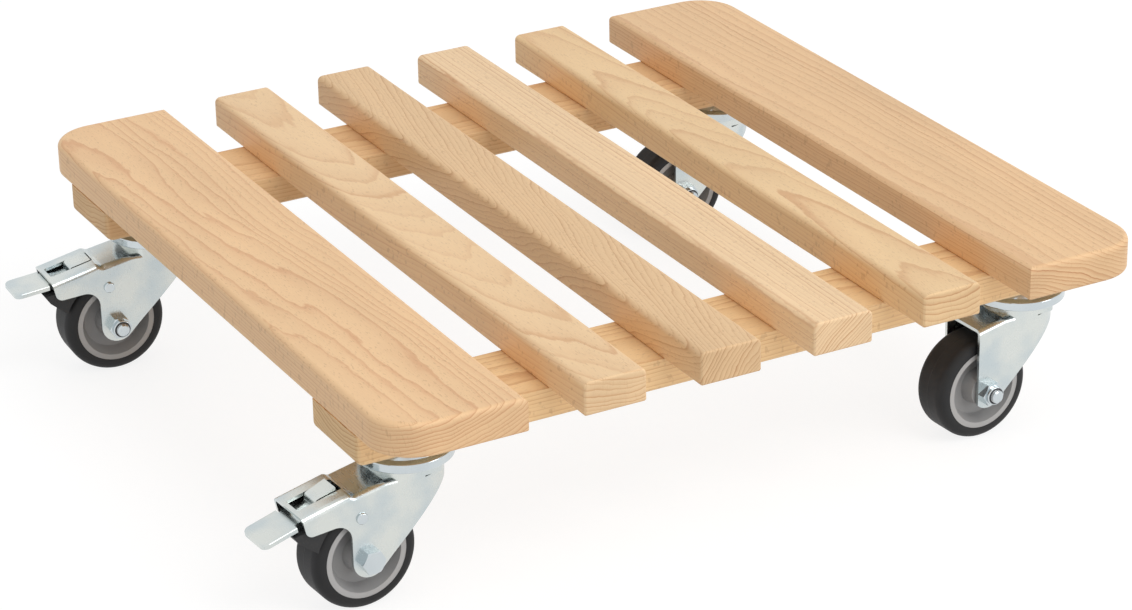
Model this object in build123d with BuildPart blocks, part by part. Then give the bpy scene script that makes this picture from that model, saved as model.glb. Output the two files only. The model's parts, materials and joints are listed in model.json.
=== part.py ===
from build123d import *
from math import atan2, cos, degrees, hypot, radians, sin, sqrt, tan
import os

# Plant caddy: a slatted beech deck on two battens, rolling on four swivel casters.
# Two of the casters, on the -X side, carry a foot brake. Millimetres, +Z up.
# The floor is Z = 0, and the origin is under the middle of the whole outline.

# Deck
deck_width = 380.0
deck_length = 380.0
wide_slat_width = 64.0
narrow_slat_width = 30.0
narrow_slat_count = 4
slat_thickness = 15.5
slat_top_radius = 2.8
slat_low_radius = 1.2
slat_end_radius = 1.2
deck_corner_radius = 22.0
batten_width = 44.0
batten_thickness = 14.5
batten_inset = 54.0
batten_edge_radius = 2.0
batten_end_radius = 4.0

# Slat screws, driven up through the battens
screw_length = 25.0
screw_radius = 1.9
screw_point = 4.0
screw_head_radius = 3.9
screw_head_angle = 90.0
screw_socket_radius = 1.5
screw_socket_depth = 1.6
screw_clearance = 0.15
wide_slat_screw_margin = 11.0

# Wheel
wheel_radius = 25.0
tyre_width = 19.6
tyre_edge_radius = 4.2
rim_radius = 19.4
rim_width = 19.2
rim_key_height = 1.2
rim_key_width = 5.0
rim_ring_width = 2.6
rim_dish_slope = 2.6
rim_web_thickness = 8.0
hub_radius = 7.6
hub_width = 21.2
sleeve_radius = 4.5
sleeve_clearance = 0.06

# Axle bolt and locknut
axle_radius = 3.0
axle_clearance = 0.08
axle_hex = 10.0
axle_head_height = 4.0
axle_nut_height = 4.4
axle_collar_height = 1.6
axle_tip = 1.9
hex_edge = 0.5

# Fork: one pressed sheet, hanging from the swivel head
sheet = 1.5
tyre_side_gap = 1.7
trail = 25.3
tyre_headroom = 6.4
neck_drop = 14.0
roof_fall = 2.6
fold_radius = 2.6
lobe_radius = 8.2
lobe_start_angle = 225.0
lobe_low_angle = 292.0
back_reach = 18.5
back_start = 9.5
back_height = 7.0
edge_bow = 1.2
plain_roof_end = 31.0

# Swivel head
cup_top_step = 4.8
cup_flank_step = 2.6
cup_flank_drop = 4.4
cup_radius = 22.0
cup_lip_top = 5.4
cup_drop = 9.6
dais_top = 9.0
dais_edge_radius = 0.8
ball_radius = 2.0
ball_count = 12
ball_overhang = 1.7
race_gap = 0.1
kingpin_radius = 6.0
kingpin_clearance = 0.3
kingpin_flange_radius = 9.0
kingpin_flange = 1.8

# Mounting bolt of each caster
bolt_radius = 4.0
bolt_clearance = 0.2
bolt_hex = 13.0
bolt_head_height = 5.3
bolt_pocket_radius = 8.0
washer_radius = 8.0
washer_thickness = 1.6
bolt_nut_height = 6.5
bolt_tip = 2.0

# Brake: hood on the fork, shoe on two rivets, pedal on a pin in the shoe
hood_overhang = 6.3
hood_step_length = 2.5
hood_rise = 1.2
hood_fall = 5.0
flange_depth = 9.4
flange_lean = 2.0
flange_radius = 3.6
arch_radius = 7.5
window_length = 21.2
window_width = 10.6
window_bar = 2.0
window_radius = 1.0
rivet_ahead = 3.2
rivet_below_tread = 4.3
rivet_radius = 1.6
rivet_head_radius = 2.7
rivet_head_height = 1.1
rivet_clearance = 0.08
rivet_head_round = 0.7
shoe_arm = 1.0
shoe_arm_radius = 3.2
shoe_side_gap = 0.3
shoe_face_gap = 1.3
shoe_start_angle = 53.0
shoe_end_angle = 23.0
arch_below_tread = 4.9
shoe_block_rise = 1.2
shoe_tail = 3.4
shoe_tail_rise = 0.5
shoe_tail_lean = 2.4
shoe_tail_height = 3.8
pin_ahead = 18.5
pin_above = 1.7
pin_radius = 1.5
pin_boss_radius = 2.6
pin_clearance = 0.08
pin_length = 19.0
pocket_gap = 0.25
pedal_sheet = 2.0
pedal_gap = 0.4
pedal_skew = 1.4
pedal_edge_radius = 0.6
paddle_length = 17.2
paddle_width = 19.6
paddle_fall = 2.1
paddle_radius = 3.4
pedal_neck_width = 14.0
pedal_cheek = 1.4
heel_ahead = 2.0
heel_rise = 0.7
foot_run = 3.8
foot_rise = 0.6
knee_run = 0.6
knee_rise = 3.5
knee_radius = 1.7
tab_width = 9.6
tab_length = 10.4
tab_rise = 2.2
shoe_lock_turn = 3.0
pedal_lock_turn = 6.5

# Sizes that follow from the ones above
slats_across = 2 * wide_slat_width + narrow_slat_count * narrow_slat_width
slat_gap = (deck_width - slats_across) / (narrow_slat_count + 1)
swivel_x = (deck_width - wide_slat_width) / 2
swivel_y = deck_length / 2 - batten_inset
ball_pitch = cup_radius - sheet - race_gap - ball_radius
dais_radius = ball_pitch - ball_overhang
cup_top_radius = cup_radius - cup_top_step
cup_flank_radius = cup_radius - cup_flank_step
fork_inner = tyre_width / 2 + tyre_side_gap
fork_outer = fork_inner + sheet
roof_drop = neck_drop + roof_fall * (trail - dais_radius) / (plain_roof_end - dais_radius)
axle_drop = roof_drop + sheet + tyre_headroom + wheel_radius
caster_height = axle_drop + wheel_radius
slat_base = caster_height + batten_thickness
deck_top = slat_base + slat_thickness
hood_end = trail + wheel_radius + hood_overhang
hood_top = neck_drop + roof_fall - hood_rise
hood_end_drop = hood_top + hood_fall
rivet_x = trail + rivet_ahead
rivet_z = -axle_drop + wheel_radius - rivet_below_tread
pin_x = rivet_x + pin_ahead
pin_z = rivet_z + pin_above
shoe_outer = fork_inner - shoe_side_gap
shoe_arm_inner = shoe_outer - shoe_arm
kingpin_foot = dais_top + sheet + kingpin_clearance + kingpin_flange
arch_drop = axle_drop - wheel_radius + arch_below_tread
ball_drop = dais_top - sqrt((ball_radius + race_gap) ** 2 - ball_overhang**2)
nut_face = kingpin_foot + washer_thickness
pocket_depth = bolt_head_height + bolt_clearance
screw_head_depth = (screw_head_radius - screw_radius) / tan(radians(screw_head_angle / 2))
press_depth = axle_drop + 2 * lobe_radius

os.makedirs("parts", exist_ok=True)


def polar(centre, radius, angle):
    """A point at an angle, in degrees, on a circle about centre."""
    return (centre[0] + radius * cos(radians(angle)), centre[1] + radius * sin(radians(angle)))


def write(shape, name, place):
    """One finished piece, in its place on the caddy."""
    with BuildPart() as piece:
        with Locations(place):
            add(shape)
    piece.part.label = name
    export_step(piece.part, f"parts/{name}.step")


# Deck: slats, battens and the screws that hold them together

def crossings(wide):
    """Screw places in a slat, from its middle: two a batten in a wide slat, one in a narrow one."""
    aside = wide_slat_width / 2 - wide_slat_screw_margin
    offsets = (-aside, aside) if wide else (0.0,)
    return [(x, y) for y in (-swivel_y, swivel_y) for x in offsets]


def make_slat(slat_width, wide):
    """A slat lying along Y on Z = 0, its outer corners on the -X side."""
    with BuildPart() as slat:
        with BuildSketch() as plan:
            Rectangle(slat_width, deck_length)
            if wide:
                fillet(plan.vertices().group_by(Axis.X)[0], radius=deck_corner_radius)
        extrude(amount=slat_thickness)
        if wide:
            fillet(slat.faces().sort_by(Axis.Z)[-1].edges(), radius=slat_top_radius)
            fillet(slat.faces().sort_by(Axis.Z)[0].edges(), radius=slat_low_radius)
        else:
            along = slat.edges().filter_by(Axis.Y)
            fillet(along.group_by(Axis.Z)[-1], radius=slat_top_radius)
            fillet(along.group_by(Axis.Z)[0], radius=slat_low_radius)
            ends = slat.faces().filter_by(Axis.Y)
            fillet(ends.edges(), radius=slat_end_radius)
        with BuildSketch() as pilots:
            with Locations(*crossings(wide)):
                Circle(screw_radius)
        extrude(amount=screw_length - batten_thickness, mode=Mode.SUBTRACT)
    return slat.part


def make_batten(screw_places):
    """A batten along X with its top on Z = 0, holed for the screws and the two caster bolts."""
    with BuildPart() as batten:
        with BuildSketch() as plan:
            Rectangle(deck_width, batten_width)
        extrude(amount=-batten_thickness)
        low = batten.faces().sort_by(Axis.Z)[0]
        fillet(low.edges().filter_by(Axis.Y), radius=batten_end_radius)
        fillet(batten.edges().filter_by(Axis.X).group_by(Axis.Z)[0], radius=batten_edge_radius)
        with Locations((-swivel_x, 0), (swivel_x, 0)):
            CounterBoreHole(bolt_radius + bolt_clearance, bolt_pocket_radius, pocket_depth)
        with Locations(Plane.XY.offset(-batten_thickness).rotated((180, 0, 0))):
            with Locations(*[(x, 0) for x in screw_places]):
                CounterSinkHole(
                    screw_radius + screw_clearance,
                    screw_head_radius + screw_clearance,
                    counter_sink_angle=screw_head_angle,
                )
    return batten.part


def make_screw():
    """A countersunk wood screw, head face on Z = 0 and pointing up."""
    with BuildPart() as screw:
        with BuildSketch(Plane.XZ) as section:
            with BuildLine():
                Polyline(
                    (0, 0),
                    (screw_head_radius, 0),
                    (screw_radius, screw_head_depth),
                    (screw_radius, screw_length - screw_point),
                    (0, screw_length),
                    close=True,
                )
            make_face()
        revolve(axis=Axis.Z)
        with BuildSketch() as socket:
            RegularPolygon(screw_socket_radius, 6)
        extrude(amount=screw_socket_depth, mode=Mode.SUBTRACT)
    return screw.part


# Fasteners of the casters

def hex_prism(across_flats, height):
    """A hexagon on Z = 0 with its upper corners turned off, as on a bolt head or nut."""
    with BuildPart() as prism:
        with BuildSketch() as face:
            RegularPolygon(across_flats / 2, 6, major_radius=False)
        extrude(amount=height)
        with BuildSketch(Plane.XZ) as turned:
            with BuildLine():
                corner = across_flats / sqrt(3)
                Polyline(
                    (0, 0),
                    (corner, 0),
                    (corner, height - hex_edge),
                    (across_flats / 2, height),
                    (0, height),
                    close=True,
                )
            make_face()
        revolve(axis=Axis.Z, mode=Mode.INTERSECT)
    return prism.part


def make_bolt(radius, length, across_flats, head_height):
    """A hexagon bolt along Z, its head standing on Z = 0 and its shank running down."""
    with BuildPart() as bolt:
        add(hex_prism(across_flats, head_height))
        with BuildSketch() as shank:
            Circle(radius)
        extrude(amount=-length)
        chamfer(bolt.edges().filter_by(GeomType.CIRCLE).sort_by(Axis.Z)[0], length=hex_edge)
    return bolt.part


def make_nut(radius, across_flats, height, collar_height):
    """A nut hanging below Z = 0, with the round collar of a locknut where it has one."""
    with BuildPart() as nut:
        add(hex_prism(across_flats, height), rotation=(180, 0, 0))
        if collar_height:
            with BuildSketch(Plane.XY.offset(-height)) as collar:
                Circle(across_flats / 2 - hex_edge)
            extrude(amount=-collar_height)
            fillet(nut.edges().filter_by(GeomType.CIRCLE).sort_by(Axis.Z)[0], radius=hex_edge)
        with BuildSketch() as bore:
            Circle(radius)
        extrude(amount=-height - collar_height, mode=Mode.SUBTRACT)
    return nut.part


def make_washer():
    """The washer between the kingpin's foot and the mounting nut."""
    with BuildPart() as washer:
        with BuildSketch(Plane.XY.offset(-nut_face)) as ring:
            Circle(washer_radius)
            Circle(bolt_radius + bolt_clearance, mode=Mode.SUBTRACT)
        extrude(amount=washer_thickness)
    return washer.part


# Swivel head, in the caster's own frame: the batten's underside is Z = 0 on the swivel axis

def make_cup():
    """The pressed cup that bears on the batten and roofs the ball race."""
    with BuildPart() as cup:
        with BuildSketch(Plane.XZ) as section:
            with BuildLine():
                Polyline(
                    (kingpin_radius, 0),
                    (cup_top_radius, 0),
                    (cup_flank_radius, -cup_flank_drop),
                    (cup_radius, -cup_lip_top),
                    (cup_radius, -cup_drop),
                    (cup_radius - sheet, -cup_drop),
                    (cup_radius - sheet, -cup_lip_top - sheet / 2),
                    (cup_flank_radius - sheet / 2, -cup_flank_drop - sheet / 2),
                    (cup_top_radius - sheet, -sheet),
                    (kingpin_radius, -sheet),
                    close=True,
                )
            make_face()
            fillet(section.vertices().sort_by_distance((cup_radius, -cup_lip_top)).first, radius=sheet / 2)
            fillet(section.vertices().sort_by_distance((cup_top_radius, 0)).first, radius=sheet)
            fillet(section.vertices().sort_by_distance((cup_radius, -cup_drop)).first, radius=sheet / 2)
        revolve(axis=Axis.Z)
    return cup.part


def make_kingpin():
    """The hollow rivet that holds cup and fork together, with the mounting bolt's bore through it."""
    with BuildPart() as kingpin:
        with BuildSketch() as tube:
            Circle(kingpin_radius)
        extrude(amount=-kingpin_foot)
        with BuildSketch(Plane.XY.offset(-kingpin_foot)) as foot:
            Circle(kingpin_flange_radius)
        extrude(amount=kingpin_flange)
        with BuildSketch() as bore:
            Circle(bolt_radius + bolt_clearance)
        extrude(amount=-kingpin_foot, mode=Mode.SUBTRACT)
    return kingpin.part


def make_balls():
    """The ring of balls between the cup's rim and the fork's dais."""
    with BuildPart() as balls:
        with Locations((0, 0, -ball_drop)):
            with PolarLocations(ball_pitch, ball_count):
                Sphere(ball_radius)
    return balls.part


# Fork

def roof_line(braked):
    """The fork's roof from the side, from the head to the trailing end, as X and Z."""
    neck = [(-2 * cup_radius, -neck_drop), (dais_radius, -neck_drop)]
    line = neck + [(plain_roof_end, -neck_drop - roof_fall)]
    if braked:
        line += [(plain_roof_end + hood_step_length, -hood_top), (hood_end, -hood_end_drop)]
    return line


def pressing(braked, inset):
    """The room inside the fork's outer skin, or inside its inner one where inset is the sheet."""
    half = fork_outer - inset
    line = [(x, z - inset) for x, z in roof_line(braked)]
    back_radius = back_reach + back_start - inset
    with BuildPart() as solid:
        with BuildSketch(Plane.XZ) as side:
            with BuildLine():
                roof = FilletPolyline(*line, radius=fold_radius)
                Polyline(roof @ 1, (line[-1][0], -press_depth), (line[0][0], -press_depth), roof @ 0)
            make_face()
        extrude(amount=cup_radius, both=True)
        with BuildSketch() as plan:
            with BuildLine():
                Polyline((back_start, half), (line[-1][0], half), (line[-1][0], -half), (back_start, -half))
                EllipticalCenterArc((back_start, 0), back_radius, half, start_angle=90, arc_size=180)
            make_face()
        extrude(amount=-press_depth, mode=Mode.INTERSECT)
        lowest = -hood_end_drop - inset - sheet
        folds = solid.edges().filter_by(lambda edge: edge.bounding_box().min.Z > lowest)
        crosswise = folds.filter_by(GeomType.LINE).filter_by(Axis.Y)
        folds = folds.filter_by(lambda edge: edge not in crosswise)
        fillet(folds, radius=fold_radius - inset)
        with BuildSketch(Plane.XY.offset(-dais_top - inset)) as dais:
            Circle(dais_radius - inset)
            Rectangle(2 * cup_radius, 2 * half, mode=Mode.INTERSECT)
        extrude(amount=dais_top - neck_drop - fold_radius)
    return solid.part


def make_fork(braked):
    """The fork, pressed from one sheet, with a hood for the brake where it is braked."""
    axle = (trail, -axle_drop)
    roof_end = roof_line(braked)[-1]
    lean = 0.0 if braked else degrees(atan2(trail + lobe_radius - plain_roof_end, axle_drop - neck_drop))
    leading = polar(axle, lobe_radius, lobe_start_angle)
    trailing = polar(axle, lobe_radius, lean)
    back = (-back_reach - sheet, -neck_drop - back_height)
    run = (back[0] - leading[0], back[1] - leading[1])
    length = hypot(*run)
    across = (run[1] / length, -run[0] / length)
    middle = tuple((a + b) / 2 + edge_bow * c for a, b, c in zip(leading, back, across))
    flange_foot = (hood_end - flange_lean, -hood_end_drop - flange_depth)
    arch = (trail + lobe_radius, -arch_drop)
    with BuildPart() as fork:
        add(pressing(braked, 0.0))
        with BuildSketch(Plane.XY.offset(-dais_top)) as rim:
            Circle(dais_radius)
        extrude(amount=-sheet)
        add(pressing(braked, sheet), mode=Mode.SUBTRACT)
        with BuildSketch(Plane.XZ) as outline:
            with BuildLine():
                ThreePointArc(back, middle, leading)
                ThreePointArc(leading, polar(axle, lobe_radius, lobe_low_angle), trailing)
                if braked:
                    Polyline(trailing, arch, flange_foot, roof_end, (roof_end[0], 0), (back[0], 0), back)
                else:
                    Polyline(trailing, roof_end, (roof_end[0], 0), (back[0], 0), back)
            make_face()
            if braked:
                fillet(outline.vertices().sort_by_distance(arch).first, radius=arch_radius)
                fillet(outline.vertices().sort_by_distance(flange_foot).first, radius=flange_radius)
        extrude(amount=cup_radius, both=True, mode=Mode.INTERSECT)
        with BuildSketch() as pivot_hole:
            Circle(kingpin_radius + kingpin_clearance)
        extrude(amount=-neck_drop, mode=Mode.SUBTRACT)
        with BuildSketch(Plane.XZ) as holes:
            with Locations(axle):
                Circle(axle_radius + axle_clearance)
            if braked:
                with Locations((rivet_x, rivet_z)):
                    Circle(rivet_radius)
        extrude(amount=cup_radius, both=True, mode=Mode.SUBTRACT)
        if braked:
            with BuildSketch(Plane.XY.offset(-neck_drop)) as window:
                with Locations((hood_end - window_bar - window_length / 2, 0)):
                    RectangleRounded(window_length, window_width, window_radius)
            extrude(amount=neck_drop - hood_end_drop - 2 * sheet, mode=Mode.SUBTRACT)
    return fork.part


# Wheel, about the Y axis through its own centre

def make_tyre():
    """The soft tyre, keyed on to the rim by a groove."""
    with BuildPart() as tyre:
        with BuildSketch() as section:
            with Locations(((rim_radius + wheel_radius) / 2, 0)):
                Rectangle(wheel_radius - rim_radius, tyre_width)
            fillet(section.vertices().group_by(Axis.X)[-1], radius=tyre_edge_radius)
            with Locations((rim_radius + rim_key_height / 2, 0)):
                Rectangle(rim_key_height, rim_key_width, mode=Mode.SUBTRACT)
        revolve(axis=Axis.Y)
    return tyre.part


def make_rim():
    """The moulded rim: outer ring, dished sides, web, and a hub that runs on the sleeve."""
    ring_inner = rim_radius - rim_ring_width
    bore = sleeve_radius + sleeve_clearance
    web = rim_web_thickness / 2
    dish = ring_inner - rim_dish_slope
    with BuildPart() as rim:
        with BuildSketch() as section:
            with BuildLine():
                Polyline(
                    (bore, 0),
                    (bore, hub_width / 2),
                    (hub_radius, hub_width / 2),
                    (hub_radius + rim_key_height, web),
                    (dish, web),
                    (ring_inner, rim_width / 2),
                    (rim_radius, rim_width / 2),
                    (rim_radius, rim_key_width / 2),
                    (rim_radius + rim_key_height, rim_key_width / 2),
                    (rim_radius + rim_key_height, 0),
                    close=True,
                )
            make_face()
            mirror(about=Plane.XZ)
        revolve(axis=Axis.Y)
    return rim.part


def make_sleeve():
    """The steel tube that the hub turns on, clamped between the fork's two sides."""
    with BuildPart() as sleeve:
        with BuildSketch(Plane.XZ) as ring:
            Circle(sleeve_radius)
            Circle(axle_radius + axle_clearance, mode=Mode.SUBTRACT)
        extrude(amount=fork_inner, both=True)
    return sleeve.part


# Brake, drawn released

def make_rivets():
    """The two rivets that the shoe swings on, one through each side of the fork."""
    with BuildPart() as rivet:
        with BuildSketch(Plane.XZ.offset(shoe_arm_inner)) as shank:
            with Locations((rivet_x, rivet_z)):
                Circle(rivet_radius)
        extrude(amount=fork_outer - shoe_arm_inner)
        with BuildSketch(Plane.XZ.offset(fork_outer)) as head:
            with Locations((rivet_x, rivet_z)):
                Circle(rivet_head_radius)
        extrude(amount=rivet_head_height)
        fillet(rivet.edges().sort_by(Axis.Y)[0], radius=rivet_head_round)
        mirror(about=Plane.XZ)
    return rivet.part


def make_shoe():
    """The moulded shoe: two arms beside the tyre, and a block over it that carries the pedal's pin."""
    axle = (trail, -axle_drop)
    face_radius = wheel_radius + shoe_face_gap
    start = polar(axle, face_radius, shoe_start_angle)
    end = polar(axle, face_radius, shoe_end_angle)
    top = rivet_z + shoe_arm_radius + shoe_block_rise
    arm_low = -arch_drop + shoe_side_gap
    tail = (hood_end + shoe_tail, rivet_z + shoe_tail_rise)
    tail_foot = (tail[0] - shoe_tail_lean, tail[1] - shoe_tail_height)
    shelf = (pin_x + pin_boss_radius + pocket_gap, tail[1] + pin_boss_radius / 2)
    inner_wall = pin_x - pin_boss_radius - pocket_gap
    floor = pin_z - pin_boss_radius - pocket_gap
    with BuildPart() as shoe:
        with BuildSketch(Plane.XZ) as block:
            with BuildLine():
                Polyline(end, tail_foot, tail, shelf, (shelf[0] - sheet, top), (start[0], top), start)
                RadiusArc(start, end, face_radius)
            make_face()
        extrude(amount=shoe_outer, both=True)
        with BuildSketch(Plane.XZ) as arm:
            with Locations((rivet_x, rivet_z)):
                Circle(shoe_arm_radius)
            with BuildLine():
                Polyline(
                    (rivet_x, rivet_z + shoe_arm_radius),
                    (start[0] + sheet, top),
                    (start[0] + sheet, arm_low),
                    (rivet_x, arm_low),
                    close=True,
                )
            make_face()
        extrude(amount=shoe_outer, both=True)
        with BuildSketch(Plane.XZ) as between:
            with Locations(axle):
                Circle(face_radius)
        extrude(amount=shoe_arm_inner, both=True, mode=Mode.SUBTRACT)
        with BuildSketch(Plane.XZ) as gap:
            with Locations(((rivet_x + start[0]) / 2 - shoe_outer, rivet_z)):
                Rectangle(start[0] - rivet_x + 2 * shoe_outer, 4 * shoe_arm_radius)
        extrude(amount=shoe_arm_inner, both=True, mode=Mode.SUBTRACT)
        with BuildSketch(Plane.XZ) as pocket:
            with BuildLine():
                Polyline(
                    (inner_wall, 0),
                    (inner_wall, floor),
                    (shelf[0] + sheet, floor),
                    (tail[0] + sheet, floor + 2 * sheet),
                    (tail[0] + sheet, 0),
                    close=True,
                )
            make_face()
        extrude(amount=pedal_neck_width / 2 + pocket_gap, both=True, mode=Mode.SUBTRACT)
        with BuildSketch(Plane.XZ) as holes:
            with Locations((rivet_x, rivet_z)):
                Circle(rivet_radius + rivet_clearance)
            with Locations((pin_x, pin_z)):
                Circle(pin_radius)
        extrude(amount=shoe_outer, both=True, mode=Mode.SUBTRACT)
    return shoe.part


def make_pin():
    """The pin that the pedal rocks on, pressed into the shoe."""
    with BuildPart() as pin:
        with BuildSketch(Plane.XZ) as end:
            with Locations((pin_x, pin_z)):
                Circle(pin_radius)
        extrude(amount=pin_length / 2, both=True)
    return pin.part


def make_pedal():
    """The pedal: a paddle for the foot, cheeks on the pin, and a release tab up through the window."""
    bar_top = -hood_end_drop - sheet - pedal_gap
    paddle_end = (hood_end + paddle_length + 2 * pedal_skew, bar_top - paddle_fall)
    heel = (pin_x + heel_ahead, bar_top + heel_rise)
    foot = (heel[0] - foot_run, heel[1] + foot_rise)
    knee = (foot[0] - knee_run, foot[1] + knee_rise)
    tab_end = (knee[0] - tab_length, knee[1] + tab_rise)
    upper = [paddle_end, heel, foot, knee, tab_end]
    lower = [(x - pedal_skew, z - pedal_sheet) for x, z in upper]
    neck_length = hood_end + pedal_gap - heel[0]
    with BuildPart() as pedal:
        with BuildSketch(Plane.XZ) as strip:
            with BuildLine():
                face = FilletPolyline(*upper, radius=knee_radius)
                back = FilletPolyline(*lower, radius=knee_radius)
                Line(face @ 0, back @ 0)
                Line(face @ 1, back @ 1)
            make_face()
        extrude(amount=paddle_width, both=True)
        with BuildSketch() as plan:
            with Locations((hood_end + pedal_gap, 0)):
                Rectangle(paddle_length - pedal_gap, paddle_width, align=(Align.MIN, Align.CENTER))
                fillet(plan.vertices().group_by(Axis.X)[-1], radius=paddle_radius)
            with Locations((heel[0], 0)):
                Rectangle(neck_length + paddle_radius, pedal_neck_width, align=(Align.MIN, Align.CENTER))
            with Locations((tab_end[0], 0)):
                Rectangle(heel[0] - tab_end[0] + paddle_radius, tab_width, align=(Align.MIN, Align.CENTER))
        extrude(amount=-press_depth, mode=Mode.INTERSECT)
        paddle_top = pedal.faces().filter_by(lambda part: part.normal_at().Z > 0).sort_by(SortBy.AREA)[-1]
        rim_edges = paddle_top.edges().filter_by(lambda edge: edge.center().X > hood_end + paddle_radius)
        fillet(rim_edges, radius=pedal_edge_radius)
        with BuildSketch(Plane.XZ) as cheek:
            with Locations((pin_x, pin_z)):
                Circle(pin_boss_radius)
            with BuildLine():
                Polyline(
                    (pin_x, pin_z - pin_boss_radius),
                    (hood_end, bar_top - heel_rise - pedal_sheet),
                    (hood_end, bar_top - pedal_sheet / 2),
                    (heel[0], heel[1] - pedal_sheet / 2),
                    (pin_x - pin_boss_radius, pin_z),
                    close=True,
                )
            make_face()
        extrude(amount=pedal_neck_width / 2, both=True)
        with BuildSketch(Plane.XZ) as between:
            with BuildLine():
                Polyline(
                    (pin_x - 2 * pin_boss_radius, heel[1] - pedal_sheet),
                    (heel[0], heel[1] - pedal_sheet),
                    (hood_end + pedal_sheet, bar_top - pedal_sheet),
                    (hood_end + pedal_sheet, -press_depth),
                    (pin_x - 2 * pin_boss_radius, -press_depth),
                    close=True,
                )
            make_face()
        extrude(amount=pedal_neck_width / 2 - pedal_cheek, both=True, mode=Mode.SUBTRACT)
        with BuildSketch(Plane.XZ) as hole:
            with Locations((pin_x, pin_z)):
                Circle(pin_radius + pin_clearance)
        extrude(amount=pedal_neck_width, both=True, mode=Mode.SUBTRACT)
    return pedal.part


# Assembly

def turned_about(x, z, angle):
    """A turn about the Y direction through a point of the caster's own frame."""
    return Location((x, 0, z), (0, angle, 0)) * Location((-x, 0, -z))


def brake_turns(locked):
    """Where the shoe and the pedal stand, pressed down or released."""
    if not locked:
        return Location(), Location()
    shoe_turn = turned_about(rivet_x, rivet_z, shoe_lock_turn)
    return shoe_turn, shoe_turn * turned_about(pin_x, pin_z, pedal_lock_turn)


wide_slat = make_slat(wide_slat_width, True)
narrow_slat = make_slat(narrow_slat_width, False)
forks = {braked: make_fork(braked) for braked in (False, True)}
pedal_shape = make_pedal()

# Each caster: name, side along X and Y, how far its trail is turned from -X, and its brake.
# The bolt head of the first faces -Y, and the nuts of the others do.
casters = (
    ("front_left", -1, -1, 3.5, True, True),
    ("rear_left", -1, 1, -2.4, True, False),
    ("front_right", 1, -1, 3.0, False, False),
    ("rear_right", 1, 1, 0.0, False, False),
)
stations = {
    name: Location((side * swivel_x, end * swivel_y, caster_height), (0, 0, 180 + yaw))
    for name, side, end, yaw, braked, locked in casters
}

# The pedals stand out past the deck, so the deck's middle is not the origin.
pedal_edges = [
    (stations[name] * brake_turns(locked)[1] * pedal_shape).bounding_box().min.X
    for name, side, end, yaw, braked, locked in casters
    if braked
]
middle_x = (min(pedal_edges) + deck_width / 2) / 2
shift = Location((-middle_x, 0, 0))

slat_pitch = narrow_slat_width + slat_gap
first_narrow = -deck_width / 2 + wide_slat_width + slat_gap + narrow_slat_width / 2
narrow_places = [first_narrow + index * slat_pitch for index in range(narrow_slat_count)]
slats_at = shift * Location((0, 0, slat_base))
write(wide_slat, "slat_wide_left", slats_at * Location((-swivel_x, 0, 0)))
write(wide_slat, "slat_wide_right", slats_at * Location((swivel_x, 0, 0), (0, 0, 180)))
for index, x in enumerate(narrow_places):
    write(narrow_slat, f"slat_narrow_{index + 1}", slats_at * Location((x, 0, 0)))

wide_offsets = [x for x, y in crossings(True) if y < 0]
wide_screws = [side * swivel_x + x for side in (-1, 1) for x in wide_offsets]
screw_places = wide_screws + narrow_places
batten = make_batten(screw_places)
write(batten, "batten_front", slats_at * Location((0, -swivel_y, 0)))
write(batten, "batten_rear", slats_at * Location((0, swivel_y, 0)))

screw_shape = make_screw()
screw_seats = [shift * Location((x, y, caster_height)) for x in screw_places for y in (-swivel_y, swivel_y)]
with BuildPart() as slat_screws:
    with Locations(*screw_seats):
        add(screw_shape)
slat_screws.part.label = "slat_screws"
export_step(slat_screws.part, "parts/slat_screws.step")

bolt_length = batten_thickness - pocket_depth + nut_face + bolt_nut_height + bolt_tip
seats = [shift * station for station in stations.values()]
caster_bolt = make_bolt(bolt_radius, bolt_length, bolt_hex, bolt_head_height)
fixings = {
    "caster_bolts": (caster_bolt, batten_thickness - pocket_depth),
    "caster_nuts": (make_nut(bolt_radius, bolt_hex, bolt_nut_height, 0), -nut_face),
    "caster_washers": (make_washer(), 0.0),
}
for name, (shape, height) in fixings.items():
    with BuildPart() as group:
        with Locations(*[seat * Location((0, 0, height)) for seat in seats]):
            add(shape)
    group.part.label = name
    export_step(group.part, f"parts/{name}.step")

cup = make_cup()
kingpin = make_kingpin()
balls = make_balls()
tyre = make_tyre()
rim = make_rim()
sleeve = make_sleeve()
axle_length = 2 * fork_outer + axle_nut_height + axle_collar_height + axle_tip
axle_bolt = make_bolt(axle_radius, axle_length, axle_hex, axle_head_height)
axle_nut = make_nut(axle_radius, axle_hex, axle_nut_height, axle_collar_height)
rivets = make_rivets()
shoe = make_shoe()
pin = make_pin()
for name, side, end, yaw, braked, locked in casters:
    station = shift * stations[name]
    wheel = station * Location((trail, 0, -axle_drop))
    axle = wheel * Location((0, 0, 0), (-90 if locked else 90, 0, 0))
    write(cup, f"{name}_swivel_cup", station)
    write(kingpin, f"{name}_kingpin", station)
    write(balls, f"{name}_swivel_balls", station)
    write(forks[braked], f"{name}_fork", station)
    write(axle_bolt, f"{name}_axle_bolt", axle * Location((0, 0, fork_outer)))
    write(axle_nut, f"{name}_axle_nut", axle * Location((0, 0, -fork_outer)))
    write(sleeve, f"{name}_axle_sleeve", wheel)
    write(rim, f"{name}_rim", wheel)
    write(tyre, f"{name}_tyre", wheel)
    if braked:
        shoe_turn, pedal_turn = brake_turns(locked)
        write(rivets, f"{name}_brake_rivets", station)
        write(shoe, f"{name}_brake_shoe", station * shoe_turn)
        write(pin, f"{name}_pedal_pin", station * shoe_turn)
        write(pedal_shape, f"{name}_brake_pedal", station * pedal_turn)
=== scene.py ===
import bpy
import bmesh
import json
from math import atan2, cos, pi, radians, sin
from mathutils import Matrix, Vector


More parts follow.
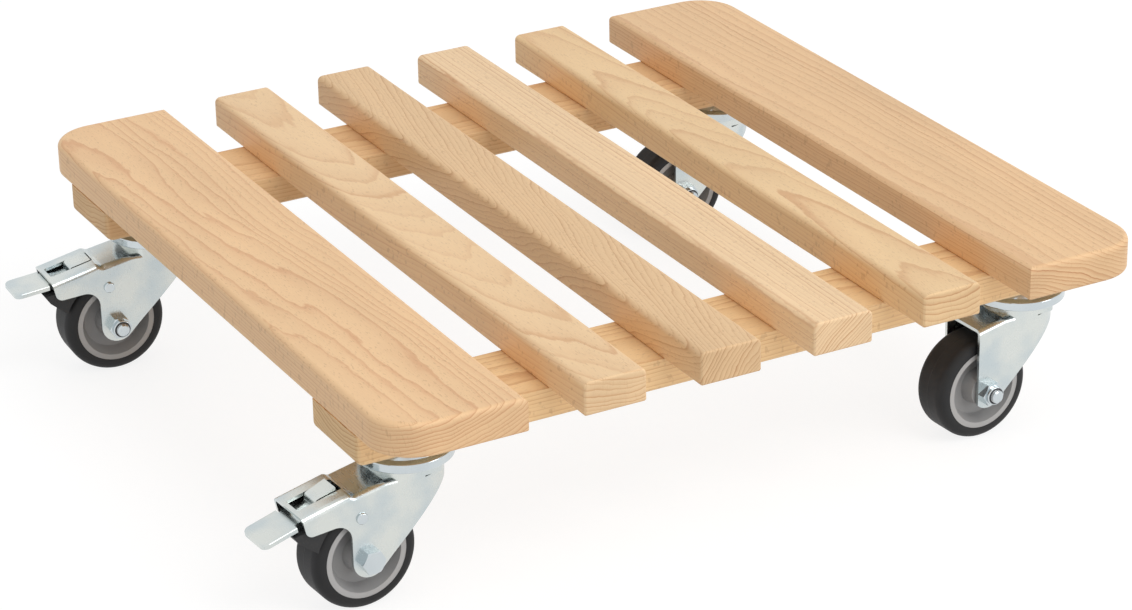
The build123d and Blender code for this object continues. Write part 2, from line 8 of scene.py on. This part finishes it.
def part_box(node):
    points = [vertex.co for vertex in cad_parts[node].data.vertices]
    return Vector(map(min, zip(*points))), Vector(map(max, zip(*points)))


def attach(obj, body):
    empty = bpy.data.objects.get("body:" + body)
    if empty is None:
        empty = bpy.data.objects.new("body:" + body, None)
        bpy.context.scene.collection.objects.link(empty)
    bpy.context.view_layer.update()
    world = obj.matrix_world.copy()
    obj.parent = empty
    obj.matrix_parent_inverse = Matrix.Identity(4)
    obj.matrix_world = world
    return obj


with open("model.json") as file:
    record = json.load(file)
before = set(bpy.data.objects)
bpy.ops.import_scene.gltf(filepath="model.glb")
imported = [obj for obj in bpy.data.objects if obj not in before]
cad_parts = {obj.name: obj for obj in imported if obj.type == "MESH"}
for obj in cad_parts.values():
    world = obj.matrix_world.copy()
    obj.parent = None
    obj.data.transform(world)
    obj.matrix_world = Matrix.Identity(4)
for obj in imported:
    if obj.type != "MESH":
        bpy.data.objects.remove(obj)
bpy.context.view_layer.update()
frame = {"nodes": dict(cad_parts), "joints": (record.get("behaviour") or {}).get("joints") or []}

MM = 0.001
CASTERS = ("front_left", "rear_left", "front_right", "rear_right")
BRAKED = ("front_left", "rear_left")
ROLLS = {joint["name"][:-5]: joint for joint in frame["joints"] if joint["name"].endswith("_roll")}


# Camera, at the photograph's angle, placed from the middle of the deck's top

CAMERA_RIGHT = (0.87654, -0.48100, -0.01772)
CAMERA_UP = (0.21497, 0.35828, 0.90853)
CAMERA_OFFSET = (-0.75744, -1.39759, 0.66792)
SENSOR_WIDTH = 36.0
LENS = 117.07
FAR_CLIP = 50.0


def set_camera():
    left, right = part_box("slat_wide_left"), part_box("slat_wide_right")
    middle = Vector(((left[0].x + right[1].x) / 2, (left[0].y + right[1].y) / 2, left[1].z))
    along, upward = Vector(CAMERA_RIGHT), Vector(CAMERA_UP)
    data = bpy.data.cameras.new("camera")
    data.sensor_width = SENSOR_WIDTH
    data.lens = LENS
    data.clip_end = FAR_CLIP
    camera = bpy.data.objects.new("camera", data)
    bpy.context.collection.objects.link(camera)
    turn = Matrix((along, upward, along.cross(upward))).transposed().to_4x4()
    camera.matrix_world = Matrix.Translation(middle + Vector(CAMERA_OFFSET)) @ turn
    bpy.context.scene.camera = camera


# Node helpers

def put(tree, kind, wires=None, **settings):
    """One shader node, with its settings made and its sockets filled or wired."""
    node = tree.nodes.new("ShaderNode" + kind)
    for name, value in settings.items():
        setattr(node, name, value)
    fill(tree, node, wires or {})
    return node


def fill(tree, node, wires):
    """Fills a node's sockets with values, or wires them to other sockets."""
    for socket, value in wires.items():
        if isinstance(value, bpy.types.NodeSocket):
            tree.links.new(value, node.inputs[socket])
        else:
            node.inputs[socket].default_value = value


def calc(tree, operation, a, b=0.0, c=0.0):
    return put(tree, "Math", {0: a, 1: b, 2: c}, operation=operation).outputs[0]


def scaled(tree, value, factor, plus):
    """Value times factor, plus another."""
    return calc(tree, "MULTIPLY_ADD", value, factor, plus)


def vector(tree, operation, a, b=(0.0, 0.0, 0.0)):
    return put(tree, "VectorMath", {0: a, 1: b}, operation=operation).outputs[0]


def length(tree, value):
    return put(tree, "VectorMath", {0: value}, operation="LENGTH").outputs["Value"]


def parts(tree, value):
    """A vector's X, Y and Z."""
    return put(tree, "SeparateXYZ", {0: value}).outputs


def joined(tree, x, y, z):
    return put(tree, "CombineXYZ", {0: x, 1: y, 2: z}).outputs[0]


def noise(tree, place, scale, detail, rough, seed):
    wires = {"Vector": place, "W": seed, "Scale": scale, "Detail": detail, "Roughness": rough}
    return put(tree, "TexNoise", wires, noise_dimensions="4D").outputs["Fac"]


def stretched_noise(tree, place, stretch, scale, detail, rough, seed):
    """Noise on a place that is first multiplied along each axis."""
    return noise(tree, vector(tree, "MULTIPLY", place, stretch), scale, detail, rough, seed)


def span(tree, value, low, high, to_low=0.0, to_high=1.0):
    """Value carried from low..high to to_low..to_high, with soft ends."""
    wires = {0: value, 1: low, 2: high, 3: to_low, 4: to_high}
    return put(tree, "MapRange", wires, interpolation_type="SMOOTHSTEP").outputs[0]


def blend(tree, share, first, second, mode="MIX"):
    node = tree.nodes.new("ShaderNodeMix")
    node.data_type = "RGBA"
    node.blend_type = mode
    fill(tree, node, {0: share, 6: first, 7: second})
    return node.outputs[2]


def group(name, inputs, outputs):
    """An empty node group with named sockets, its start and its end."""
    tree = bpy.data.node_groups.new(name, "ShaderNodeTree")
    for label, kind, value in inputs:
        socket = tree.interface.new_socket(
            label, in_out="INPUT", socket_type="NodeSocket" + kind
        )
        socket.default_value = value
    for label in outputs:
        tree.interface.new_socket(label, in_out="OUTPUT", socket_type="NodeSocketFloat")
    given = tree.nodes.new("NodeGroupInput").outputs
    return tree, given, tree.nodes.new("NodeGroupOutput").inputs


def use(tree, shared, wires):
    node = tree.nodes.new("ShaderNodeGroup")
    node.node_tree = shared
    fill(tree, node, wires)
    return node.outputs


def material(name, **plain):
    """A material with a Principled shader whose plain values are set on its own sockets."""
    made = bpy.data.materials.new(name)
    made.use_nodes = True
    tree = made.node_tree
    shader = tree.nodes["Principled BSDF"]
    for socket, value in plain.items():
        shader.inputs[socket.replace("_", " ")].default_value = value
    return made, tree, shader


def finish_shader(tree, shader, colour, rough, height, strength, relief):
    """Wires colour, roughness and a bump of so many metres to the shader."""
    bump = put(tree, "Bump", {"Strength": strength, "Distance": relief, "Height": height})
    tree.links.new(colour, shader.inputs["Base Color"])
    tree.links.new(rough, shader.inputs["Roughness"])
    tree.links.new(bump.outputs[0], shader.inputs["Normal"])


def srgb(red, green, blue):
    """A display colour of 0 to 255, made linear."""
    return tuple(((part / 255 + 0.055) / 1.055) ** 2.4 for part in (red, green, blue)) + (1.0,)


def object_place(tree, centre=(0.0, 0.0, 0.0), turn=0.0):
    """Object coordinates in millimetres, from a piece's centre and turned about Z."""
    place = put(tree, "TexCoord").outputs["Object"]
    offset = Matrix.Rotation(turn, 3, "Z") @ Vector(centre) * -1
    wires = {"Vector": place, "Location": offset, "Rotation": (0.0, 0.0, turn)}
    turned = put(tree, "Mapping", wires, vector_type="POINT").outputs[0]
    return vector(tree, "MULTIPLY", turned, (1 / MM, 1 / MM, 1 / MM))


# Beech: growth rings about a pith, rays across them and fibres along the board.
# Lengths are in millimetres, and a stretch is how fast a pattern changes along X, Y and Z.

DRIFT_STRETCH, DRIFT_SHARE = (0.028, 0.006, 0.028), 9.0
RIPPLE_STRETCH, RIPPLE_SHARE = (0.13, 0.022, 0.13), 1.6
JITTER_STRETCH, JITTER_DEPTH = (0.30, 0.12, 0.30), 0.55
UNEVEN_RATE, UNEVEN_SHARE = 0.37, 1.5
FIBRE_STRETCH = (1.0, 0.05, 1.0)
TONE_STRETCH = (0.05, 0.010, 0.05)
RAY_ALONG, RAY_OUTWARD = 0.26, 0.10


def ring_depth(tree, given, radius, along):
    """Distance from the pith, bent by drift, ripple, jitter and the board's run-out."""
    place, wander, seed = given["Place"], given["Wander"], given["Seed"]
    drift = stretched_noise(tree, place, DRIFT_STRETCH, 1.0, 1.6, 0.45, seed)
    ripple = stretched_noise(tree, place, RIPPLE_STRETCH, 1.0, 2.0, 0.5, seed)
    jitter = stretched_noise(tree, place, JITTER_STRETCH, 1.0, 2.0, 0.6, seed)
    drift, ripple, jitter = (calc(tree, "SUBTRACT", one, 0.5) for one in (drift, ripple, jitter))
    bent = calc(tree, "MULTIPLY", along, given["Run Out"])
    bent = scaled(tree, drift, calc(tree, "MULTIPLY", wander, DRIFT_SHARE), bent)
    bent = scaled(tree, ripple, calc(tree, "MULTIPLY", wander, RIPPLE_SHARE), bent)
    bent = scaled(tree, jitter, JITTER_DEPTH, bent)
    return calc(tree, "ADD", radius, bent)


def ring_lines(tree, depth, ring_width, seed):
    """Each ring darkens slowly, ends in a dark line and starts again, some more than others."""
    count = calc(tree, "DIVIDE", depth, ring_width)
    year = scaled(tree, count, UNEVEN_RATE, seed)
    uneven = noise(tree, (0.0, 0.0, 0.0), 1.0, 0.0, 0.5, year)
    count = scaled(tree, uneven, UNEVEN_SHARE, count)
    within = calc(tree, "FRACT", count)
    summer = span(tree, within, 0.10, 0.85, 0.0, 0.34)
    autumn = span(tree, within, 0.70, 0.92, 0.0, 0.66)
    spring = span(tree, within, 0.93, 1.0, 1.0, 0.0)
    line = calc(tree, "MULTIPLY", calc(tree, "ADD", summer, autumn), spring)
    which = calc(tree, "FLOOR", calc(tree, "ADD", count, seed))
    drawn = put(tree, "TexWhiteNoise", {"W": which}, noise_dimensions="1D").outputs["Value"]
    return calc(tree, "MULTIPLY", line, scaled(tree, drawn, 0.7, 0.3))


def make_beech_figure():
    tree, given, result = group(
        "beech_figure",
        (
            ("Place", "Vector", (0, 0, 0)),
            ("Pith", "Vector", (0, 0, 100)),
            ("Ring Width", "Float", 2.1),
            ("Run Out", "Float", 0.03),
            ("Wander", "Float", 1.2),
            ("Seed", "Float", 0.0),
        ),
        ("Ring", "Ray", "Fibre", "Tone"),
    )
    place, seed = given["Place"], given["Seed"]
    cut, pith = parts(tree, place), parts(tree, given["Pith"])
    across = calc(tree, "SUBTRACT", cut[0], pith[0])
    deep = calc(tree, "SUBTRACT", cut[2], pith[2])
    radius = length(tree, joined(tree, across, 0.0, deep))
    depth = ring_depth(tree, given, radius, cut[1])
    tree.links.new(ring_lines(tree, depth, given["Ring Width"], seed), result["Ring"])

    angle = calc(tree, "ARCTAN2", across, deep)
    ray_place = joined(
        tree,
        calc(tree, "MULTIPLY", angle, length(tree, given["Pith"])),
        calc(tree, "MULTIPLY", cut[1], RAY_ALONG),
        calc(tree, "MULTIPLY", radius, RAY_OUTWARD),
    )
    ray = span(tree, noise(tree, ray_place, 1.7, 1.0, 0.4, seed), 0.60, 0.70)
    fibre = stretched_noise(tree, place, FIBRE_STRETCH, 2.6, 3.0, 0.6, seed)
    tone = stretched_noise(tree, place, TONE_STRETCH, 1.0, 2.0, 0.5, seed)
    for label, mask in (("Ray", ray), ("Fibre", fibre), ("Tone", tone)):
        tree.links.new(mask, result[label])
    return tree


def beech(name, node, growth, body, line, turn):
    """Sanded, oiled-looking beech for one board, its grain along Y, or X when it is turned."""
    made, tree, shader = material(name, Specular_IOR_Level=0.32)
    low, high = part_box(node)
    place = object_place(tree, (low + high) / 2, turn)
    figure = use(tree, BEECH_FIGURE, {"Place": place, **growth})
    facing = parts(tree, put(tree, "TexCoord").outputs["Normal"])[0 if turn else 1]
    end_grain = span(tree, calc(tree, "ABSOLUTE", facing), 0.55, 0.95)

    ring_share = calc(tree, "MULTIPLY", figure["Ring"], scaled(tree, end_grain, 0.70, 0.80))
    colour = blend(tree, ring_share, srgb(*body), srgb(*line))
    shade = scaled(tree, figure["Tone"], 0.20, 0.90)
    shade = scaled(tree, figure["Fibre"], 0.16, calc(tree, "SUBTRACT", shade, 0.08))
    shade = scaled(tree, end_grain, -0.12, shade)
    grey = put(tree, "CombineColor", {0: shade, 1: shade, 2: shade}).outputs[0]
    colour = blend(tree, 1.0, colour, grey, "MULTIPLY")
    ray_share = calc(tree, "MULTIPLY", figure["Ray"], scaled(tree, end_grain, -0.15, 0.22))
    colour = blend(tree, ray_share, colour, srgb(160, 114, 78))

    rough = scaled(tree, end_grain, 0.14, scaled(tree, figure["Fibre"], 0.14, 0.42))
    grain = scaled(tree, figure["Ray"], -0.5, figure["Fibre"])
    grain = scaled(tree, figure["Ring"], -0.4, grain)
    finish_shader(tree, shader, colour, rough, grain, 0.35, 0.12 * MM)
    return made


# Finish marks that the metal, rubber and plastic share

HAIRLINE_TURNS = ((0.3, 0.5, 0.9), (1.4, 0.2, 2.2))
HAIRLINE_STRETCH = (3.4, 0.10, 0.35)


def make_fine_marks():
    tree, given, result = group(
        "fine_marks",
        (("Place", "Vector", (0, 0, 0)), ("Size", "Float", 1.0), ("Seed", "Float", 0.0)),
        ("Cloud", "Speck", "Hairline"),
    )
    size, seed = given["Size"], given["Seed"]
    sized = vector(tree, "DIVIDE", given["Place"], joined(tree, size, size, size))
    lines = []
    for turn in HAIRLINE_TURNS:
        wires = {"Vector": sized, "Rotation": turn, "Scale": HAIRLINE_STRETCH}
        turned = put(tree, "Mapping", wires).outputs[0]
        lines.append(span(tree, noise(tree, turned, 1.0, 1.0, 0.4, seed), 0.66, 0.75))
    tree.links.new(noise(tree, sized, 0.07, 2.0, 0.45, seed), result["Cloud"])
    tree.links.new(noise(tree, sized, 3.2, 2.0, 0.6, seed), result["Speck"])
    tree.links.new(calc(tree, "MAXIMUM", *lines), result["Hairline"])
    return tree


def zinc(name, body, tint, rough, seed, relief=0.03 * MM):
    """Bright zinc plating: pale steel with faint clouds of tint, fine specks and hairlines."""
    made, tree, shader = material(name, Metallic=1.0)
    marks = use(tree, FINE_MARKS, {"Place": object_place(tree), "Seed": seed})
    cloud = span(tree, marks["Cloud"], 0.30, 0.70)
    colour = blend(tree, cloud, srgb(*body), srgb(*tint))
    dull = calc(tree, "MULTIPLY", marks["Hairline"], 0.10)
    colour = blend(tree, dull, colour, srgb(150, 152, 150))
    rough_map = scaled(tree, marks["Cloud"], 0.10, rough - 0.05)
    rough_map = scaled(tree, marks["Hairline"], 0.08, rough_map)
    height = scaled(tree, marks["Speck"], 0.35, marks["Cloud"])
    finish_shader(tree, shader, colour, rough_map, height, 0.5, relief)
    return made


# Radii about the axle, in millimetres: where the tread begins, where the rim's pale ring (painted
# lighter, as lit) begins and its dish (painted darker, as shade) ends, and one past the wheel

TREAD_RADIUS = 24.2
RIM_DISH_SHADE_RADIUS = 16.9
OUTSIDE_RADIUS = 30.0


def wheel_place(tree, caster):
    """Millimetres from the wheel's centre, with Y along its axle."""
    roll = ROLLS[caster]
    turn = atan2(roll["axis"][0], -roll["axis"][1])
    return object_place(tree, roll["pos_m"], -turn)


def axle_radius(tree, place):
    return length(tree, vector(tree, "MULTIPLY", place, (1.0, 0.0, 1.0)))


def ring_mask(tree, radius, inner, outer, edge):
    """One between two radii about the axle, with soft edges."""
    rise = span(tree, radius, inner - edge, inner + edge)
    fall = span(tree, radius, outer - edge, outer + edge, 1.0, 0.0)
    return calc(tree, "MULTIPLY", rise, fall)


def tyre_rubber(name, caster, seed):
    """Near-black soft tyre, a little dusty on its tread, with a mould line round the middle."""
    made, tree, shader = material(name, Specular_IOR_Level=0.35)
    place = wheel_place(tree, caster)
    marks = use(tree, FINE_MARKS, {"Place": place, "Seed": seed, "Size": 0.8})
    tread = ring_mask(tree, axle_radius(tree, place), TREAD_RADIUS, OUTSIDE_RADIUS, 0.7)
    dust = calc(tree, "MULTIPLY", tread, span(tree, marks["Cloud"], 0.35, 0.7, 0.15, 0.75))
    colour = blend(tree, marks["Cloud"], srgb(27, 27, 28), srgb(37, 37, 38))
    colour = blend(tree, dust, colour, srgb(49, 49, 51))
    rough = scaled(tree, marks["Speck"], 0.2, 0.5)
    beside = calc(tree, "ABSOLUTE", parts(tree, place)[1])
    seam = span(tree, beside, 0.10, 0.34, 1.0, 0.0)
    height = scaled(tree, marks["Speck"], 0.3, calc(tree, "MULTIPLY", seam, tread))
    finish_shader(tree, shader, colour, rough, height, 0.6, 0.12 * MM)
    return made


def rim_plastic(name, caster, seed):
    """Grey moulded rim, satin, with faint turned marks, a pale outer ring painted as lit and a
    dish painted darker as shade.
    """
    made, tree, shader = material(name, Specular_IOR_Level=0.4)
    place = wheel_place(tree, caster)
    marks = use(tree, FINE_MARKS, {"Place": place, "Seed": seed})
    radius = axle_radius(tree, place)
    # Painted light and shade: the flat outer ring is painted paler, as lit, and the recessed dish
    # inside it darker, as shade.
    ring = ring_mask(tree, radius, RIM_DISH_SHADE_RADIUS, OUTSIDE_RADIUS, 0.25)
    colour = blend(tree, marks["Cloud"], srgb(153, 153, 154), srgb(165, 164, 163))
    colour = blend(tree, ring, colour, srgb(180, 179, 178))
    rough = scaled(tree, marks["Speck"], 0.16, 0.36)
    turned = calc(tree, "SINE", calc(tree, "MULTIPLY", radius, 9.0))
    height = scaled(tree, turned, 0.12, marks["Speck"])
    finish_shader(tree, shader, colour, rough, height, 0.35, 0.05 * MM)
    return made


def dark_plastic(name, body, seed, rough=0.5):
    """Black moulded plastic with a fine spark texture and a few pale scuffs."""
    made, tree, shader = material(name, Specular_IOR_Level=0.4)
    marks = use(tree, FINE_MARKS, {"Place": object_place(tree), "Seed": seed, "Size": 0.6})
    colour = blend(tree, marks["Cloud"], srgb(*body), srgb(*[part + 14 for part in body]))
    scuffs = calc(tree, "MULTIPLY", marks["Hairline"], 0.3)
    colour = blend(tree, scuffs, colour, srgb(92, 92, 92))
    rough_map = scaled(tree, marks["Speck"], 0.2, rough - 0.1)
    finish_shader(tree, shader, colour, rough_map, marks["Speck"], 0.5, 0.06 * MM)
    return made


def dress(node, made):
    """Gives a CAD node its finish."""
    piece = frame["nodes"][node]
    if not piece.material_slots:
        piece.data.materials.append(made)
    for place in piece.material_slots:
        place.material = made


# New pieces. Sections are millimetres along the axle and out from it.

THREAD_PITCH = 0.55 * MM
THREAD_TURNS = 3
THREAD_STEPS = 24 * THREAD_TURNS
THREAD_SECTION = ((0.0, 2.92), (0.16, 3.14), (0.26, 3.14), (0.42, 2.92))
TIP_CHAMFER = 0.75 * MM
NYLON_SECTION = (
    (-0.30, 3.02), (-0.30, 3.98), (0.02, 3.98), (0.10, 3.80), (0.10, 3.20), (0.0, 3.02),
)
NYLON_STEPS = 40


def finish_piece(name, mesh, made, body, smooth=True):
    """A finished bmesh as an object that rides on a body."""
    bmesh.ops.remove_doubles(mesh, verts=mesh.verts, dist=1e-7)
    bmesh.ops.recalc_face_normals(mesh, faces=mesh.faces)
    for face in mesh.faces:
        face.smooth = smooth
    data = bpy.data.meshes.new(name)
    mesh.to_mesh(data)
    mesh.free()
    data.materials.append(made)
    piece = bpy.data.objects.new(name, data)
    bpy.context.collection.objects.link(piece)
    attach(piece, body)


def axle_line(caster):
    """The wheel's centre, and its axle's direction towards the nut."""
    roll = ROLLS[caster]
    centre, axis = Vector(roll["pos_m"]), Vector(roll["axis"])
    low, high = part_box(f"{caster}_axle_nut")
    towards_nut = 1 if ((low + high) / 2 - centre).dot(axis) > 0 else -1
    return centre, axis * towards_nut


def reach(node, centre, axis):
    """How far a CAD node goes along an axis from a centre."""
    return max((vertex.co - centre).dot(axis) for vertex in frame["nodes"][node].data.vertices)


def section_ring(mesh, section, centre, axis, start):
    """A closed section beside an axis, as the points and edges that a spin takes."""
    side = axis.orthogonal().normalized()
    points = []
    for along, out in section:
        points.append(mesh.verts.new(centre + axis * (start + along * MM) + side * (out * MM)))
    following = points[1:] + points[:1]
    return points + [mesh.edges.new(pair) for pair in zip(points, following)]


def axle_thread(caster):
    """The thread that shows on the axle bolt's tip, as a helix."""
    centre, axis = axle_line(caster)
    advance = THREAD_PITCH * THREAD_TURNS
    start = reach(f"{caster}_axle_bolt", centre, axis) - advance - TIP_CHAMFER
    mesh = bmesh.new()
    bmesh.ops.spin(
        mesh,
        geom=section_ring(mesh, THREAD_SECTION, centre, axis, start),
        cent=centre,
        axis=axis,
        angle=2 * pi * THREAD_TURNS,
        steps=THREAD_STEPS,
        dvec=axis * (advance / THREAD_STEPS),
        use_merge=False,
    )
    bmesh.ops.holes_fill(mesh, edges=mesh.edges)
    name = f"{caster}_axle_thread"
    finish_piece(name, mesh, THREAD_STEEL, f"{caster}_swivel", smooth=False)


def locknut_ring(caster):
    """The dark nylon ring held in the locknut's collar."""
    centre, axis = axle_line(caster)
    face = reach(f"{caster}_axle_nut", centre, axis)
    mesh = bmesh.new()
    bmesh.ops.spin(
        mesh,
        geom=section_ring(mesh, NYLON_SECTION, centre, axis, face),
        cent=centre,
        axis=axis,
        angle=2 * pi,
        steps=NYLON_STEPS,
        use_merge=True,
    )
    finish_piece(f"{caster}_locknut_ring", mesh, NYLON, f"{caster}_swivel")


# Floor, background and light

FLOOR_SIZE = 6.0
FLOOR_PAPER, FLOOR_GLOW = 0.22, 0.84
FLOOR_BOUNCE = 0.78
ROOM_LIGHT = 0.58
BOX_AIM = (0.0, 0.0, 0.06)


def white_share(tree):
    """One for rays that see the background itself: from the camera, a reflection or glass."""
    rays = put(tree, "LightPath").outputs
    seen = calc(tree, "MAXIMUM", rays["Is Camera Ray"], rays["Is Glossy Ray"])
    return calc(tree, "MAXIMUM", seen, rays["Is Transmission Ray"])


def plain_diffuse(tree, grey):
    return put(tree, "BsdfDiffuse", {"Color": (grey, grey, grey, 1.0)}).outputs[0]


def set_floor():
    """A white floor that keeps a soft shadow, and lights the object as pale paper would."""
    mesh = bmesh.new()
    bmesh.ops.create_grid(mesh, x_segments=1, y_segments=1, size=FLOOR_SIZE)
    data = bpy.data.meshes.new("floor")
    mesh.to_mesh(data)
    mesh.free()
    floor = bpy.data.objects.new("floor", data)
    bpy.context.collection.objects.link(floor)
    made = bpy.data.materials.new("floor_white")
    made.use_nodes = True
    tree = made.node_tree
    tree.nodes.clear()
    end = tree.nodes.new("ShaderNodeOutputMaterial")
    white = {"Color": (1.0, 1.0, 1.0, 1.0), "Strength": FLOOR_GLOW}
    glow = put(tree, "Emission", white).outputs[0]
    shown = put(tree, "AddShader", {0: plain_diffuse(tree, FLOOR_PAPER), 1: glow}).outputs[0]
    bounce = plain_diffuse(tree, FLOOR_BOUNCE)
    mixed = put(tree, "MixShader", {0: white_share(tree), 1: bounce, 2: shown}).outputs[0]
    tree.links.new(mixed, end.inputs[0])
    data.materials.append(made)


def set_world():
    world = bpy.data.worlds.new("studio")
    bpy.context.scene.world = world
    world.use_nodes = True
    tree = world.node_tree
    back = tree.nodes["Background"]
    back.inputs["Color"].default_value = (1.0, 1.0, 1.0, 1.0)
    strength = scaled(tree, white_share(tree), 1.0 - ROOM_LIGHT, ROOM_LIGHT)
    tree.links.new(strength, back.inputs["Strength"])


def soft_box(name, turn, height, distance, size, power):
    """A soft box aimed at the deck, turned about it from -Y towards +X."""
    data = bpy.data.lights.new(name, "AREA")
    data.shape = "SQUARE"
    data.size = size
    data.energy = power
    lamp = bpy.data.objects.new(name, data)
    bpy.context.collection.objects.link(lamp)
    across, rise = radians(turn), radians(height)
    away = Vector((sin(across) * cos(rise), -cos(across) * cos(rise), sin(rise)))
    lamp.location = Vector(BOX_AIM) + away * distance
    lamp.rotation_mode = "QUATERNION"
    lamp.rotation_quaternion = (-away).to_track_quat("-Z", "Y")
    lamp.visible_camera = False


set_camera()
set_world()
set_floor()
soft_box("key_box", turn=20, height=52, distance=3.6, size=2.2, power=51.0)
soft_box("front_box", turn=38, height=9, distance=3.2, size=1.1, power=15.0)
bpy.context.scene.view_settings.view_transform = "Standard"

BEECH_FIGURE = make_beech_figure()
FINE_MARKS = make_fine_marks()

# Each board: its pith from its middle, ring width, run-out, wander and seed, then the
# colours of its wood and of its ring lines
SLATS = {
    "slat_wide_left": ((-44, 0, 145), 2.0, 0.020, 1.2, 3.1, (246, 206, 159), (222, 168, 124)),
    "slat_narrow_1": ((3, 0, 74), 2.2, -0.070, 1.2, 7.4, (246, 211, 166), (222, 174, 128)),
    "slat_narrow_2": ((40, 0, -34), 1.7, 0.160, 2.2, 12.9, (236, 200, 155), (202, 153, 109)),
    "slat_narrow_3": ((90, 0, -110), 1.6, 0.004, 0.5, 17.3, (249, 216, 173), (213, 162, 117)),
    "slat_narrow_4": ((-6, 0, 60), 2.5, 0.055, 1.2, 23.8, (243, 208, 160), (214, 164, 118)),
    "slat_wide_right": ((-60, 0, -150), 1.8, 0.006, 0.9, 29.2, (240, 201, 155), (206, 150, 107)),
}
BATTENS = {
    "batten_front": ((10, 0, 80), 1.9, 0.012, 0.8, 36.7, (248, 212, 161), (217, 168, 118)),
    "batten_rear": ((-14, 0, 95), 2.0, -0.010, 0.8, 41.5, (240, 202, 153), (213, 163, 115)),
}
GROWTH_VALUES = ("Pith", "Ring Width", "Run Out", "Wander", "Seed")
for boards, turn in ((SLATS, 0.0), (BATTENS, pi / 2)):
    for node, (*values, body, line) in boards.items():
        growth = dict(zip(GROWTH_VALUES, values))
        dress(node, beech(f"beech_{node}", node, growth, body, line, turn))

PRESSED_ZINC = zinc("pressed_zinc", (195, 205, 208), (215, 219, 215), 0.26, 2.0)
TURNED_ZINC = zinc("turned_zinc", (204, 212, 215), (198, 206, 210), 0.15, 9.0)
SCREW_ZINC = zinc("screw_zinc", (200, 204, 206), (206, 206, 200), 0.3, 15.0)
THREAD_STEEL = zinc("thread_steel", (188, 192, 194), (176, 180, 182), 0.25, 21.0)
BALL_STEEL = zinc("ball_steel", (186, 189, 192), (178, 181, 184), 0.12, 27.0, 0.01 * MM)
SHOE_PLASTIC = dark_plastic("shoe_plastic", (34, 34, 35), 33.0)
NYLON = dark_plastic("locknut_nylon", (58, 60, 64), 39.0, 0.4)

dress("slat_screws", SCREW_ZINC)
for node in ("caster_bolts", "caster_nuts", "caster_washers"):
    dress(node, TURNED_ZINC)
for index, caster in enumerate(CASTERS):
    for part in ("swivel_cup", "axle_bolt", "axle_nut", "axle_sleeve", "kingpin"):
        dress(f"{caster}_{part}", TURNED_ZINC)
    dress(f"{caster}_fork", PRESSED_ZINC)
    dress(f"{caster}_swivel_balls", BALL_STEEL)
    dress(f"{caster}_tyre", tyre_rubber(f"tyre_rubber_{caster}", caster, 50.0 + 7 * index))
    dress(f"{caster}_rim", rim_plastic(f"rim_plastic_{caster}", caster, 80.0 + 7 * index))
    axle_thread(caster)
    locknut_ring(caster)
for caster in BRAKED:
    dress(f"{caster}_brake_rivets", TURNED_ZINC)
    dress(f"{caster}_pedal_pin", TURNED_ZINC)
    dress(f"{caster}_brake_pedal", PRESSED_ZINC)
    dress(f"{caster}_brake_shoe", SHOE_PLASTIC)
